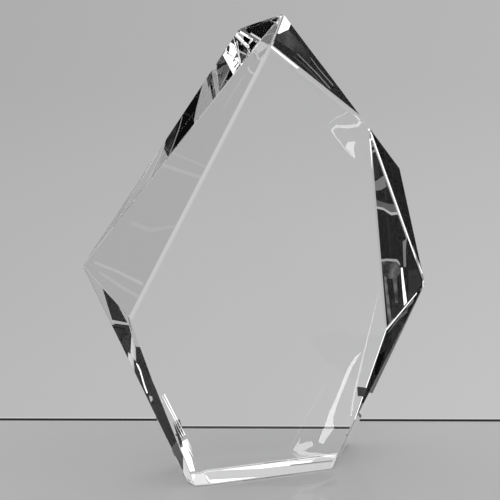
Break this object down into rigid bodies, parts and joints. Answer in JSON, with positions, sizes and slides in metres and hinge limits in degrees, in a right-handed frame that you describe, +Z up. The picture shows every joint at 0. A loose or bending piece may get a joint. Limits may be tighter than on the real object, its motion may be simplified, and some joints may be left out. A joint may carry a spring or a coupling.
{
  "type": "faceted crystal award",
  "caption": "Free-standing asymmetric block of clear optical crystal with a flat front for engraving, ground facets at the edges and a flat base.",
  "frame": {"origin": "middle of the block's width and depth, on the plane that the base rests on", "axes": "+Z up, -Y out of the engraving face, +X to the right of someone who faces the engraving face"},
  "size_m": [0.1931, 0.035, 0.2398],
  "materials": {
    "optical_crystal": "flame-clear polished optical crystal, lead-free"
  },
  "bodies": {
    "root": {"crystal_block": "optical_crystal"}
  },
  "joints": []
}
